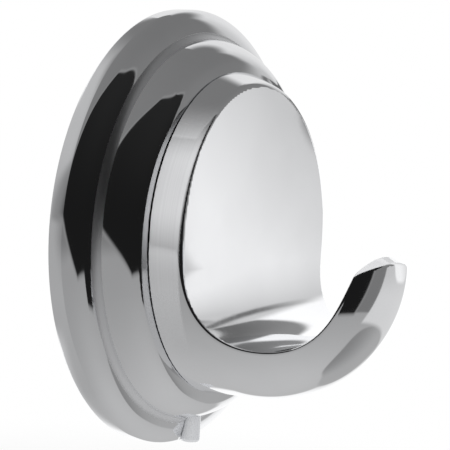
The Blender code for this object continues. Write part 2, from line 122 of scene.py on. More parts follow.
# Fixing behind: spigot, screw from behind, two washers
SPIGOT_SIDE = 13.0
SPIGOT_BACK = PLATE_BACK + GAP
FACE_SKIN = 1.7
RETAINER_R = 2.5
RETAINER_HEAD_R = 4.5
RETAINER_BACK = 3.6
RETAINER_HEAD_H = 2.8
RETAINER_SEAT = RETAINER_BACK + RETAINER_HEAD_H
RETAINER_CHAMFER = 0.6
RETAINER_KEY = 3.0
WASHER_T = 1.1
WASHER_FRONT = PLATE_BACK - GAP
WASHER_BACK = WASHER_FRONT - WASHER_T
WASHER_R = (SPIGOT_SIDE + 2 * GAP) / math.sqrt(2) + 1.6
LOCK_WASHER_R = 4.4
LOCK_WASHER_T = 1.2
LOCK_WASHER_BACK = RETAINER_SEAT + GAP
LOCK_WASHER_FRONT = LOCK_WASHER_BACK + LOCK_WASHER_T
LOCK_WASHER_SLIT = 0.8
KNURL_COUNT = 40
KNURL_DEPTH = 0.12
FINE_THREAD = 0.22
FINE_PITCH = 0.8
THIN_EDGE = 0.12

# Wall bracket, its two screws and their plugs
BRACKET_R = SEAT_R - 1.6
BRACKET_DEPTH = PLATE_BACK - 0.8
BRACKET_WALL = 3.5
BRACKET_BASE = 2.6
BRACKET_FLAT = BRACKET_R - 1.5
HOLE_ROOM = 0.5
CAST_EDGE = 0.4
WALL_SCREW_R = 1.9
WALL_SCREW_HEAD_R = 3.9
WALL_SCREW_HEAD_H = 2.5
WALL_SCREW_HEAD_ROUND = 1.3
WALL_SCREW_LENGTH = 25.0
WALL_SCREW_POINT = 4.5
WALL_SCREW_PLAIN = 4.0
WALL_SCREW_THREAD = 0.55
WALL_SCREW_PITCH = 1.6
CROSS_SLOT_WIDTH = 0.9
CROSS_SLOT_LENGTH = 4.4
CROSS_SLOT_DEPTH = 1.4
SCREW_HEIGHT = BRACKET_R - BRACKET_WALL - 3.6 - WALL_SCREW_HEAD_R
ANCHOR_R = WALL_SCREW_R + GAP + 1.1
ANCHOR_COLLAR_R = ANCHOR_R + 0.5
ANCHOR_COLLAR_T = 0.8
ANCHOR_LENGTH = 19.0
ANCHOR_BARBS = 5
ANCHOR_BARB_DEPTH = 0.4
ANCHOR_END_TAPER = 0.6
ANCHOR_SLIT = 0.9
ANCHOR_SLIT_LENGTH = 12.0

# Set screw under the rosette
SET_SCREW_R = 1.7
SET_SCREW_ROOM = 0.2
SET_SCREW_END_LENGTH = 5.2
SET_SCREW_FOOT = FLANGE_R - 0.4
SET_SCREW_TIP = -BRACKET_FLAT - GAP - 3.0
SET_SCREW_KEY = 1.7
SET_SCREW_KEY_DEPTH = 2.0
SET_SCREW_ROUND = 0.5
SET_SCREW_CHAMFER = 0.4

# Finish of the chrome: height of its long waves, the shares of painted reflection on the neck's side and the horn's
# end (metal turned partly diffuse so its pale colour shows as a bright band), and the roughness and reach of the
# rosette's inner corner
SWELL = 0.012
NECK_PAINTED_REFLECTION = 0.86
TIP_PAINTED_REFLECTION = 0.9
CORNER_ROUGH = 0.5
CORNER_REACH = 1.15

# Grid that a surface is read from, the turn that halves an edge, and the distance that joins two points
SKIN_CELL = 0.36
CAST_CELL = 0.4
SMALL_CELL = 0.14
EDGE_TURN = math.radians(18.0)
WELD = 0.003
FAR = 99.0

# Camera, fitted to the photo's outlines
CAMERA_PLACE = (-0.24144, -0.14563, 0.01827)
CAMERA_RIGHT = (0.4914, -0.8688, 0.0603)
CAMERA_FORWARD = (0.8706, 0.4881, -0.0621)
CAMERA_LENS = 127.35

# Stage: a round tent for the reflections, and a floor
TENT_R = 0.07
TENT_PLACE = (0.015, -0.02, 0.0)
FLOOR_DROP = 0.11
FLOOR_HALF = 12.0
FLOOR_PALE = 0.8


def bezier(a, b, c, d, count):
    t = np.linspace(0.0, 1.0, count + 1)[:, None]
    u = 1.0 - t
    return u ** 3 * a + 3 * u * u * t * b + 3 * u * t * t * c + t ** 3 * d


def dome_front_at(z):
    up = (z + DOME_DROP) / DOME_HALF_HEIGHT
    return DOME_DEPTH + DOME_REACH * math.sqrt(max(1.0 - up * up, 0.0))


def throat_line(count=1200):
    """The throat in side view, as (depth, height) points close together: down the face and up the horn."""
    above = FLANGE_R

    def face_at(z):
        return np.array((FACE_DEPTH - math.tan(FACE_LEAN) * z, z))

    heel = face_at(-THROAT_START)
    heel_pull = face_at(-THROAT_START - THROAT_HEEL)
    floor = np.array((FACE_DEPTH + THROAT_FLOOR_OUT, -THROAT_FLOOR))
    tip = np.array((dome_front_at(-TIP_DROP) - TIP_THICKNESS, -TIP_DROP))
    lean = np.array((math.sin(HORN_LEAN), math.cos(HORN_LEAN)))
    beyond = tip + lean * (above - tip[1]) / lean[1]
    straight = np.linspace(0.0, 1.0, count)[:, None]
    face = face_at(above) + (heel - face_at(above)) * straight
    lower = bezier(heel, heel_pull, floor - (THROAT_TOE, 0.0), floor, count)
    upper = bezier(floor, floor + (HORN_TOE, 0.0), tip - lean * HORN_RISE, tip, count)
    out = tip + (beyond - tip) * straight
    return np.concatenate([face[:-1], lower[:-1], upper[:-1], out])


class ThroatField:
    """Signed distance to the throat's side view, negative inside the throat, kept at close steps."""

    STEP = 0.25

    def __init__(self):
        line = throat_line()
        self.low = np.array((FACE_DEPTH - 8.0, -FLANGE_R))
        self.count = (int(34.0 / self.STEP), int(2 * FLANGE_R / self.STEP))
        depths = self.low[0] + self.STEP * np.arange(self.count[0])
        heights = self.low[1] + self.STEP * np.arange(self.count[1])
        table = np.zeros(self.count)
        along = np.gradient(line, axis=0)
        along /= np.linalg.norm(along, axis=1)[:, None]
        for i, depth in enumerate(depths):
            off = np.stack([depth - line[:, 0][None, :] + 0 * heights[:, None], heights[:, None] - line[:, 1]], -1)
            square = (off ** 2).sum(-1)
            near = square.argmin(1)
            rows = np.arange(len(heights))
            side = along[near, 0] * off[rows, near, 1] - along[near, 1] * off[rows, near, 0]
            table[i] = -side
        self.table = table

    def __call__(self, depth, z):
        """Value at any points, by cubic interpolation."""
        u = (depth - self.low[0]) / self.STEP
        v = (z - self.low[1]) / self.STEP
        i = np.clip(np.floor(u).astype(int), 1, self.count[0] - 3)
        j = np.clip(np.floor(v).astype(int), 1, self.count[1] - 3)
        wu = cubic_weights(np.clip(u - i, 0.0, 1.0))
        wv = cubic_weights(np.clip(v - j, 0.0, 1.0))
        total = np.zeros(np.shape(depth))
        for a in range(4):
            for b in range(4):
                total += wu[a] * wv[b] * self.table[i + a - 1, j + b - 1]
        return total


def cubic_weights(t):
    """Catmull-Rom weights of the four neighbours of a point."""
    return (
        (-t + 2 * t ** 2 - t ** 3) / 2,
        (2 - 5 * t ** 2 + 3 * t ** 3) / 2,
        (t + 4 * t ** 2 - 3 * t ** 3) / 2,
        (-t ** 2 + t ** 3) / 2,
    )


def meet(a, b, radius):
    """Where two solids overlap, with the edge between them rounded."""
    u = np.maximum(a + radius, 0.0)
    v = np.maximum(b + radius, 0.0)
    return np.minimum(np.maximum(a, b), -radius) + np.hypot(u, v)


def merge(a, b, soft):
    """Two solids together, with the corner between them filled softly."""
    return (a + b - np.sqrt((a - b) ** 2 + soft ** 2)) / 2


def cone(across, depth, start, radius, slope):
    """Signed distance, near its surface, to a cone about the axis whose radius falls with depth."""
    return (across - radius + slope * (depth - start)) / math.hypot(1.0, slope)


def dome_field(x, depth, z):
    """Signed distance, near its surface, to the dome: an oval bar that ends in half an ellipsoid."""
    past = np.maximum(depth - DOME_DEPTH, 0.0)
    up = z + DOME_DROP
    k0 = np.sqrt((x / DOME_HALF_WIDTH) ** 2 + (up / DOME_HALF_HEIGHT) ** 2 + (past / DOME_REACH) ** 2)
    slope = (x / DOME_HALF_WIDTH ** 2) ** 2 + (up / DOME_HALF_HEIGHT ** 2) ** 2 + (past / DOME_REACH ** 2) ** 2
    return k0 * (k0 - 1.0) / np.sqrt(slope + 1e-9)


def tip_field(x, depth, z):
    """Positive above the horn's arched and sloping end, which only reaches over the horn."""
    inner = dome_front_at(-TIP_DROP) - TIP_THICKNESS
    reach = np.minimum(np.abs(x), 0.9 * TIP_CROWN_R)
    arch = TIP_CROWN_R - np.sqrt(TIP_CROWN_R ** 2 - reach ** 2)
    above = z + TIP_DROP + arch + math.tan(TIP_SLOPE) * (depth - inner)
    return np.where(depth > inner - 4 * TIP_THICKNESS, above * math.cos(TIP_SLOPE), -FAR)


def square_bar(x, depth, z, half, low, high):
    """Signed distance, near its surface, to a square bar along the axis."""
    return np.maximum(np.maximum(np.abs(x), np.abs(z)) - half, np.maximum(low - depth, depth - high))


def hook_field(points, throat):
    """Negative inside the hook body, about a distance near its surface; points are (x, depth, z)."""
    x, depth, z = points[..., 0], points[..., 1], points[..., 2]
    across = np.hypot(x, z)
    neck = cone(across, depth, HOOK_BACK, SEAT_R, NECK_TAPER)
    neck = meet(neck, cone(across, depth, FACE_DEPTH, FACE_R, NECK_FADE), BACK_EDGE)
    body = merge(neck, dome_field(x, depth, z), SIDE_BLEND)
    body = meet(body, SEAT_DEPTH + SEAM - depth, BACK_EDGE)
    body = meet(body, -throat(depth, z), THROAT_EDGE)
    body = meet(body, tip_field(x, depth, z), TIP_EDGE)
    spigot = square_bar(x, depth, z, SPIGOT_SIDE / 2, SPIGOT_BACK, HOOK_BACK + 1.0)
    bore = np.maximum(across - RETAINER_R - GAP, depth - FACE_DEPTH + FACE_SKIN)
    return meet(np.minimum(body, spigot), -bore, BACK_EDGE)


def surface_from_field(field, low, high, cell):
    """Points and four-sided faces where a field crosses zero, one point in each crossed cell."""
    axes = [np.arange(a, b + cell, cell) for a, b in zip(low, high)]
    grid = np.stack(np.meshgrid(*axes, indexing="ij"), -1)
    value = field(grid)
    inside = value < 0.0
    total = np.zeros(tuple(n - 1 for n in value.shape) + (3,))
    hits = np.zeros(total.shape[:3])
    shape = total.shape[:3]
    for axis in range(3):
        step = [slice(None)] * 3
        here, there = list(step), list(step)
        here[axis], there[axis] = slice(None, -1), slice(1, None)
        a, b = value[tuple(here)], value[tuple(there)]
        crossed = (a < 0.0) != (b < 0.0)
        share = np.where(crossed, a / np.where(crossed, a - b, 1.0), 0.0)
        place = grid[tuple(here)] + 0.0
        place[..., axis] += share * cell
        others = [k for k in range(3) if k != axis]
        for i in (0, 1):
            for j in (0, 1):
                part = [slice(None)] * 3
                part[others[0]] = slice(i, i + shape[others[0]])
                part[others[1]] = slice(j, j + shape[others[1]])
                part = tuple(part)
                total += np.where(crossed[part][..., None], place[part], 0.0)
                hits += crossed[part]
    used = hits > 0
    index = -np.ones(shape, int)
    index[used] = np.arange(used.sum())
    points = total[used] / hits[used][:, None]
    faces = []
    for axis in range(3):
        others = [k for k in range(3) if k != axis]
        here, there = [slice(None)] * 3, [slice(None)] * 3
        here[axis], there[axis] = slice(None, -1), slice(1, None)
        for k in others:
            here[k] = there[k] = slice(1, -1)
        a, b = inside[tuple(here)], inside[tuple(there)]
        at = np.argwhere(a != b)
        leaving = a[tuple(at.T)]
        at = at + np.array([0 if k == axis else 1 for k in range(3)])
        one, two = np.zeros(3, int), np.zeros(3, int)
        one[others[0]], two[others[1]] = 1, 1
        quad = np.stack([index[tuple((at - s).T)] for s in (one + two, two, 0 * one, one)], -1)
        turn = leaving if axis != 1 else ~leaving
        faces.append(np.where(turn[:, None], quad, quad[:, ::-1]))
    return points, np.concatenate(faces)


def gradient(field, points, step=0.02):
    columns = []
    for axis in range(3):
        offset = np.zeros(3)
        offset[axis] = step
        columns.append((field(points + offset) - field(points - offset)) / (2 * step))
    return np.stack(columns, -1)


def make_skin(name, field, low, high, cell):
    """A mesh of a field's surface, in metres, with the field's own slope as its shading."""
    low, high = np.array(low), np.array(high)
    middle = (low + high) / 2
    cells = np.ceil((high - low) / cell / 2 + 2)
    points, faces = surface_from_field(field, middle - cells * cell, middle + cells * cell, cell)
    points = settle(field, points, cell)
    mesh = bpy.data.meshes.new(name)
    mesh.from_pydata(points.tolist(), [], faces.tolist())
    for _ in range(2):
        points = refine(mesh, field, cell)
    points = weld(mesh, np.clip(points, low, high))
    normals = facing(field, points)
    flip = np.array((1.0, -1.0, 1.0))
    mesh.vertices.foreach_set("co", (points * flip * MM).ravel())
    mesh.flip_normals()
    mesh.shade_smooth()
    mesh.normals_split_custom_set_from_vertices((normals * flip).tolist())
    return mesh


def settle(field, points, cell, rounds=4):
    """Points moved along the slope on to the surface."""
    for _ in range(rounds):
        slope = gradient(field, points)
        square = np.maximum((slope ** 2).sum(-1), 0.05)
        points = points - slope * np.clip(field(points) / square, -cell, cell)[:, None]
    return points


def facing(field, points):
    slope = gradient(field, points)
    return slope / (np.linalg.norm(slope, axis=1)[:, None] + 1e-12)


def refine(mesh, field, cell):
    """Halves the mesh edges along which the surface turns sharply, and settles the new points."""
    work = bmesh.new()
    work.from_mesh(mesh)
    work.verts.ensure_lookup_table()
    points = np.array([v.co for v in work.verts])
    normals = facing(field, points)
    ends = np.array([(e.verts[0].index, e.verts[1].index) for e in work.edges])
    turn = (normals[ends[:, 0]] * normals[ends[:, 1]]).sum(-1)
    length = np.linalg.norm(points[ends[:, 0]] - points[ends[:, 1]], axis=1)
    sharp = (turn < math.cos(EDGE_TURN)) & (length > cell / 5)
    chosen = [e for e, yes in zip(work.edges, sharp) if yes]
    bmesh.ops.subdivide_edges(work, edges=chosen, cuts=1, use_grid_fill=True)
    wide = [f for f in work.faces if len(f.verts) > 4]
    bmesh.ops.triangulate(work, faces=wide)
    work.to_mesh(mesh)
    work.free()
    count = len(points)
    points = np.zeros(len(mesh.vertices) * 3)
    mesh.vertices.foreach_get("co", points)
    points = points.reshape(-1, 3)
    points[count:] = settle(field, points[count:], cell)
    mesh.vertices.foreach_set("co", points.ravel())
    return points


def weld(mesh, points):
    """Points that fell together become one."""
    mesh.vertices.foreach_set("co", points.ravel())
    work = bmesh.new()
    work.from_mesh(mesh)
    bmesh.ops.remove_doubles(work, verts=work.verts, dist=WELD)
    bmesh.ops.dissolve_degenerate(work, edges=work.edges, dist=WELD)
    work.to_mesh(mesh)
    work.free()
    points = np.zeros(len(mesh.vertices) * 3)
    mesh.vertices.foreach_get("co", points)
    return points.reshape(-1, 3)


def shoulder(across, depth, inner, top, outer, start):
    """A disc of a height whose edge falls off in a quarter ellipse."""
    wide, tall = outer - inner, top - start
    u = np.maximum(across - inner, 0.0) / wide
    v = np.maximum(depth - start, 0.0) / tall
    k0 = np.hypot(u, v)
    k1 = np.hypot(u / wide, v / tall)
    return (k0 - 1.0) * np.where(k1 > 1e-6, k0 / np.maximum(k1, 1e-6), min(wide, tall))


def block(u, v, w, low, high):
    """Signed distance, near its surface, to a box."""
    sides = [np.maximum(a - p, p - b) for p, a, b in zip((u, v, w), low, high)]
    return np.maximum(np.maximum(sides[0], sides[1]), sides[2])


def rod(across, along, radius, start, end, edge):
    """A round bar between two places on its axis, its ends rounded."""
    return meet(meet(across - radius, start - along, edge), along - end, edge)


def hexagon(u, v, flat):
    sides = [np.abs(u * math.cos(a) + v * math.sin(a)) for a in (0.0, math.pi / 3, 2 * math.pi / 3)]
    return np.maximum(np.maximum(sides[0], sides[1]), sides[2]) - flat / 2


def thread_cut(around, along, pitch):
    """Depth of a screw thread from 0 on its crest to 1 in its root."""
    wave = np.abs(2.0 * ((along / pitch + around / (2 * math.pi)) % 1.0) - 1.0)
    return np.clip(1.25 * wave - 0.15, 0.0, 1.0)


def rosette_field(points):
    x, depth, z = points[..., 0], points[..., 1], points[..., 2]
    across = np.hypot(x, z)
    ring = (depth - SEAT_DEPTH) * math.cos(RING_LEAN) + (across - SEAT_R) * math.sin(RING_LEAN)
    outer = -meet(
        -meet(shoulder(across, depth, SEAT_R, SEAT_DEPTH, TIER_R, STEP_DEPTH), ring, THIN_EDGE),
        -shoulder(across, depth, STEP_R, STEP_DEPTH, FLANGE_R, RIM_WALL),
        CREASE_R,
    )
    inner = np.minimum(
        shoulder(across, depth, SEAT_R, PLATE_BACK, STEP_R - SHELL_WALL, STEP_DEPTH - SHELL_WALL),
        shoulder(across, depth, STEP_R, STEP_DEPTH - SHELL_WALL, FLANGE_R - SHELL_WALL, RIM_WALL - SHELL_WALL),
    )
    shell = meet(meet(outer, -inner, RIM_EDGE), -depth, RIM_EDGE)
    ribs = FAR
    for angle in RIB_ANGLES:
        u = x * math.cos(angle) + z * math.sin(angle)
        v = z * math.cos(angle) - x * math.sin(angle)
        rib = block(
            u, depth, v,
            (BRACKET_R + GAP, STEP_DEPTH - SHELL_WALL, -RIB_WIDTH / 2),
            (STEP_R - SHELL_WALL + GAP, PLATE_BACK + GAP, RIB_WIDTH / 2),
        )
        ribs = np.minimum(ribs, rib)
    back = STEP_DEPTH - SET_SCREW_R - GAP - SCREW_BOSS_WALL
    boss = block(
        x, depth, z,
        (-SCREW_BOSS_WIDTH / 2, back, SHELL_WALL - STEP_R - GAP),
        (SCREW_BOSS_WIDTH / 2, PLATE_BACK + GAP, -BRACKET_FLAT - 2 * GAP),
    )
    solid = merge(shell, np.minimum(ribs, boss), CAST_FILLET)
    bore = np.maximum(np.hypot(x, depth - STEP_DEPTH) - SET_SCREW_R - SET_SCREW_ROOM, z + BRACKET_FLAT)
    hole = square_bar(x, depth, z, SPIGOT_SIDE / 2 + GAP, 0.0, FLANGE_R)
    return meet(meet(solid, -bore, BORE_EDGE), -hole, BORE_EDGE)


def bracket_field(points):
    x, depth, z = points[..., 0], points[..., 1], points[..., 2]
    across = np.hypot(x, z)
    disc = meet(rod(across, depth, BRACKET_R, 0.0, BRACKET_DEPTH, CAST_EDGE), -BRACKET_FLAT - z, CAST_EDGE)
    cavity = meet(across - BRACKET_R + BRACKET_WALL, BRACKET_BASE - depth, CAST_EDGE)
    cup = meet(disc, -cavity, CAST_EDGE)
    for height in (SCREW_HEIGHT, -SCREW_HEIGHT):
        off = np.hypot(x, z - height)
        hole = off - WALL_SCREW_R - HOLE_ROOM
        recess = np.maximum(off - ANCHOR_COLLAR_R - GAP, depth - ANCHOR_COLLAR_T - GAP)
        cup = meet(cup, -np.minimum(hole, recess), BORE_EDGE)
    return cup


def wall_screw_field(points):
    x, depth, z = points[..., 0], points[..., 1], points[..., 2]
    across = np.hypot(x, z)
    seat = BRACKET_BASE + GAP
    top = seat + WALL_SCREW_HEAD_H
    end = seat - WALL_SCREW_LENGTH
    pan = shoulder(
        across, depth, WALL_SCREW_HEAD_R - 1.6 * WALL_SCREW_HEAD_ROUND, top,
        WALL_SCREW_HEAD_R, top - WALL_SCREW_HEAD_ROUND,
    )
    head = meet(pan, seat - depth, THIN_EDGE)
    taper = np.clip((depth - end) / WALL_SCREW_POINT, 0.0, 1.0)
    fade = np.clip((seat - WALL_SCREW_PLAIN - depth) / WALL_SCREW_PITCH, 0.0, 1.0)
    cut = WALL_SCREW_THREAD * fade * thread_cut(np.arctan2(z, x), depth, WALL_SCREW_PITCH)
    radius = (WALL_SCREW_R - cut) * np.sqrt(taper + 1e-4) - 0.02
    shank = np.maximum(np.maximum(across - radius, end - depth), depth - seat - GAP)
    half = CROSS_SLOT_WIDTH / 2 - 0.12 * (top - depth)
    reach = CROSS_SLOT_LENGTH / 2 - 0.75 * (top - depth)
    cross = np.minimum(
        np.maximum(np.abs(x) - half, np.abs(z) - reach),
        np.maximum(np.abs(z) - half, np.abs(x) - reach),
    )
    cross = np.maximum(cross, top - CROSS_SLOT_DEPTH - depth)
    return np.minimum(meet(head, -cross, THIN_EDGE), shank)


def anchor_field(points):
    x, depth, z = points[..., 0], points[..., 1], points[..., 2]
    across = np.hypot(x, z)
    end = ANCHOR_COLLAR_T - ANCHOR_LENGTH
    pitch = -end / (ANCHOR_BARBS + 1)
    turn = -depth / pitch
    row = np.floor(turn)
    share = turn - row
    radius = ANCHOR_R - ANCHOR_BARB_DEPTH * share
    radius = np.where(row >= ANCHOR_BARBS, ANCHOR_R - ANCHOR_END_TAPER * share, radius)
    radius -= ANCHOR_BARB_DEPTH * np.clip(1.0 - share / 0.08, 0.0, 1.0)
    radius = np.where(row < 1, ANCHOR_R - ANCHOR_BARB_DEPTH, radius)
    barrel = np.maximum(meet(across - radius, end - depth, THIN_EDGE), depth - ANCHOR_COLLAR_T / 2)
    collar = rod(across, depth, ANCHOR_COLLAR_R, 0.0, ANCHOR_COLLAR_T, THIN_EDGE)
    solid = np.minimum(barrel, collar)
    slit = np.maximum(np.abs(x) - ANCHOR_SLIT / 2, depth - end - ANCHOR_SLIT_LENGTH)
    return meet(meet(solid, WALL_SCREW_R + GAP - across, THIN_EDGE), -slit, THIN_EDGE)


def retaining_screw_field(points):
    x, depth, z = points[..., 0], points[..., 1], points[..., 2]
    across, around = np.hypot(x, z), np.arctan2(z, x)
    tip = FACE_DEPTH - FACE_SKIN - GAP
    knurl = KNURL_DEPTH * (0.5 + 0.5 * np.cos(KNURL_COUNT * around))
    head = meet(
        meet(across - RETAINER_HEAD_R + knurl, depth - RETAINER_SEAT, THIN_EDGE),
        RETAINER_BACK - depth, RETAINER_CHAMFER,
    )
    cut = FINE_THREAD * thread_cut(around, depth, FINE_PITCH)
    shank = np.maximum(meet(across - RETAINER_R + cut, depth - tip, RETAINER_CHAMFER), RETAINER_SEAT - 1.0 - depth)
    socket = np.maximum(hexagon(x, z, RETAINER_KEY), depth - RETAINER_BACK - RETAINER_HEAD_H / 2)
    return np.minimum(meet(head, -socket, THIN_EDGE), shank)


def ring_field(points, outer, back, front):
    across = np.hypot(points[..., 0], points[..., 2])
    ring = rod(across, points[..., 1], outer, back, front, THIN_EDGE)
    return meet(ring, RETAINER_R + GAP - across, THIN_EDGE)


def washer_field(points):
    return ring_field(points, WASHER_R, WASHER_BACK, WASHER_FRONT)


def lock_washer_field(points):
    x, depth, z = points[..., 0], points[..., 1], points[..., 2]
    ring = ring_field(points, LOCK_WASHER_R, LOCK_WASHER_BACK, LOCK_WASHER_FRONT)
    slant = (depth - LOCK_WASHER_BACK - LOCK_WASHER_T / 2) / 2
    slit = np.maximum(np.abs(x - slant) - LOCK_WASHER_SLIT / 2, -z)
    return meet(ring, -slit, THIN_EDGE)


def set_screw_field(points):
    x, depth, z = points[..., 0], points[..., 1] - STEP_DEPTH, points[..., 2]
    across, around = np.hypot(x, depth), np.arctan2(depth, x)
    dog = -SET_SCREW_FOOT + SET_SCREW_END_LENGTH
    cut = FINE_THREAD * thread_cut(around, z, FINE_PITCH)
    shank = meet(meet(across - SET_SCREW_R + cut, z - SET_SCREW_TIP, SET_SCREW_CHAMFER), dog - z, THIN_EDGE)
    nub = meet(across - SET_SCREW_R, -SET_SCREW_FOOT - z, SET_SCREW_ROUND)
    nub = np.maximum(nub, z - dog - 1.0)
    key = np.maximum(hexagon(x, depth, SET_SCREW_KEY), z + SET_SCREW_FOOT - SET_SCREW_KEY_DEPTH)
    return meet(np.minimum(shank, nub), -key, THIN_EDGE)


def make_piece(name, field, low, high, cell, body, node, material, rise=0.0):
    """A fine piece that stands for one CAD node; low and high are corners in (x, depth, z)."""
    mesh = make_skin(name, field, low, high, cell)
    place_piece(name, mesh, body, node, material, rise)
    return mesh


def place_piece(name, mesh, body, node, material, rise=0.0):
    item = bpy.data.objects.new(name, mesh)
    item.location.z = rise * MM
    bpy.context.scene.collection.objects.link(item)
    if not mesh.materials:
        mesh.materials.append(material)
    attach(item, body)
    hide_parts(node)


class Tree:
    """Short ways to add nodes to a shader."""

    def __init__(self, tree):
        self.tree = tree
        tree.nodes.clear()

    def node(self, kind, settings=None, **sockets):
        made = self.tree.nodes.new(kind)
        for key, value in (settings or {}).items():
            setattr(made, key, value)
        for key, value in sockets.items():
            name = key.replace("_", " ")
            number = name[0] == "i" and name[1:].isdigit()
            self.feed(made.inputs[int(name[1:]) if number else name], value)
        return made

    def feed(self, socket, value):
        if isinstance(value, bpy.types.NodeSocket):
            self.tree.links.new(value, socket)
        elif value is not None:
            socket.default_value = value

    def calc(self, operation, a, b=None, c=None):
        return self.node("ShaderNodeMath", {"operation": operation}, i0=a, i1=b, i2=c).outputs[0]

    def product(self, *parts):
        return functools.reduce(lambda a, b: self.calc("MULTIPLY", a, b), parts)

    def total(self, *parts):
        return functools.reduce(lambda a, b: self.calc("ADD", a, b), parts)

    def smooth(self, value, low, high, start=0.0, end=1.0):
        sockets = {"Value": value, "From_Min": low, "From_Max": high, "To_Min": start, "To_Max": end}
        return self.node("ShaderNodeMapRange", {"interpolation_type": "SMOOTHSTEP"}, **sockets).outputs[0]

    def noise(self, place, scale, detail=2.0, roughness=0.5, distortion=0.0):
        sockets = {"Vector": place, "Scale": scale, "Detail": detail, "Roughness": roughness}
        return self.node("ShaderNodeTexNoise", None, Distortion=distortion, **sockets).outputs["Fac"]

    def blend(self, share, a, b):
        """Two numbers mixed."""
        return self.node("ShaderNodeMix", {"data_type": "FLOAT"}, i0=share, i2=a, i3=b).outputs[0]

    def colours(self, share, a, b):
        made = self.node("ShaderNodeMix", {"data_type": "RGBA"}, i0=share)
        self.feed(made.inputs[6], a if isinstance(a, bpy.types.NodeSocket) else (*a, 1.0))
        self.feed(made.inputs[7], b if isinstance(b, bpy.types.NodeSocket) else (*b, 1.0))
        return made.outputs[2]


def surface(name):
    """A new material, its tree, its shader, and places on the object in metres."""
    material = bpy.data.materials.new(name)
    material.use_nodes = True
    tree = Tree(material.node_tree)
    shader = tree.node("ShaderNodeBsdfPrincipled")
    tree.node("ShaderNodeOutputMaterial", None, Surface=shader.outputs[0])
    place = tree.node("ShaderNodeTexCoord").outputs["Object"]
    return material, tree, shader, place


def chrome(name, tint, cloud, seed, corners=None, painted_reflection=None):
    """Polished chrome over a cast body: long soft waves, a faint ripple, and hazy wear in the plate."""
    material, tree, shader, place = surface(name)
    place = tree.node("ShaderNodeMapping", None, Vector=place, Location=(seed, seed, seed)).outputs[0]
    haze = tree.noise(place, 55.0, 3.0)
    dull = [c * cloud for c in tint]
    tree.feed(shader.inputs["Base Color"], tree.colours(tree.smooth(haze, 0.35, 0.7), tint, dull))
    shader.inputs["Metallic"].default_value = 1.0
    fine = tree.noise(place, 900.0, 4.0, 0.6)
    rough = tree.calc("ADD", tree.smooth(haze, 0.3, 0.75, 0.035, 0.06), tree.smooth(fine, 0.3, 0.8, 0.0, 0.03))
    if corners:
        rough = tree.blend(corners(tree), rough, CORNER_ROUGH)
    tree.feed(shader.inputs["Roughness"], rough)
    swell = tree.noise(place, 95.0, 1.0)
    ripple = tree.noise(place, 420.0, 2.0)
    wave = tree.calc("ADD", swell, tree.calc("MULTIPLY", ripple, 0.1))
    bump = tree.node("ShaderNodeBump", None, Height=wave, Distance=SWELL * MM, Strength=1.0)
    tree.feed(shader.inputs["Normal"], bump.outputs[0])
    # Painted reflection: where asked, the metal is turned partly diffuse so its pale colour stands in for a bright
    # reflection.
    if painted_reflection:
        tree.feed(shader.inputs["Metallic"], tree.calc("SUBTRACT", 1.0, painted_reflection(tree)))
    return material


def places(tree):
    """Distance from the axis, depth and height of a point."""
    place = tree.node("ShaderNodeTexCoord").outputs["Object"]
    x, y, z = tree.node("ShaderNodeSeparateXYZ", None, Vector=place).outputs
    return span(tree, x, z), tree.product(y, -1.0), z


def span(tree, u, v):
    return tree.node("ShaderNodeVectorMath", {"operation": "LENGTH"}, i0=flat(tree, u, v)).outputs["Value"]


def rosette_crease(tree):
    """Share of the rosette's inner corner, where a polishing wheel doesn't reach."""
    across, depth, _ = places(tree)
    crease = span(tree, tree.total(across, -TIER_R * MM), tree.total(depth, -STEP_DEPTH * MM))
    return tree.smooth(crease, CORNER_REACH * MM, (CORNER_REACH - 0.25) * MM)


def hook_painted_reflection(tree):
    """How far the hook's metal is turned partly diffuse, a painted reflection: its pale colour shows as a bright
    band on the neck's turned side, most beside the face, with fine marks, and on the horn's up-facing end.
    """
    across, depth, z = places(tree)
    wall = tree.total(across, tree.product(depth, NECK_TAPER))
    wall_at = (SEAT_R + NECK_TAPER * HOOK_BACK) * MM
    share = tree.product(
        tree.smooth(wall, wall_at - 0.35 * MM, wall_at - 0.15 * MM),
        tree.smooth(depth, (SEAT_DEPTH + 0.1) * MM, (SEAT_DEPTH + 0.2) * MM),
        tree.smooth(depth, (FACE_DEPTH - 0.2) * MM, (FACE_DEPTH - 0.6) * MM),
    )
    marks = tree.noise(flat(tree, tree.product(depth, 6.0), across), 900.0, 3.0)
    rise = tree.product(
        tree.smooth(z, -7.0 * MM, 5.0 * MM, NECK_PAINTED_REFLECTION / 3, NECK_PAINTED_REFLECTION),
        tree.smooth(z, 22.0 * MM, 12.0 * MM),
        tree.smooth(z, -20.0 * MM, -8.0 * MM),
    )
    # Painted reflection on the neck's turned side, graded with height.
    neck = tree.product(share, rise, tree.smooth(marks, 0.2, 0.8, 0.92, 1.0))
    normal = tree.node("ShaderNodeTexCoord").outputs["Normal"]
    up = tree.node("ShaderNodeSeparateXYZ", None, Vector=normal).outputs[2]
    # Painted reflection on the horn's up-facing end.
    far = tree.smooth(depth, (DOME_DEPTH + 12.0) * MM, (DOME_DEPTH + 13.0) * MM, 0.0, TIP_PAINTED_REFLECTION)
    return tree.total(neck, tree.product(far, tree.smooth(up, 0.5, 0.7)))


def flat(tree, u, v):
    return tree.node("ShaderNodeCombineXYZ", None, X=u, Y=v).outputs[0]


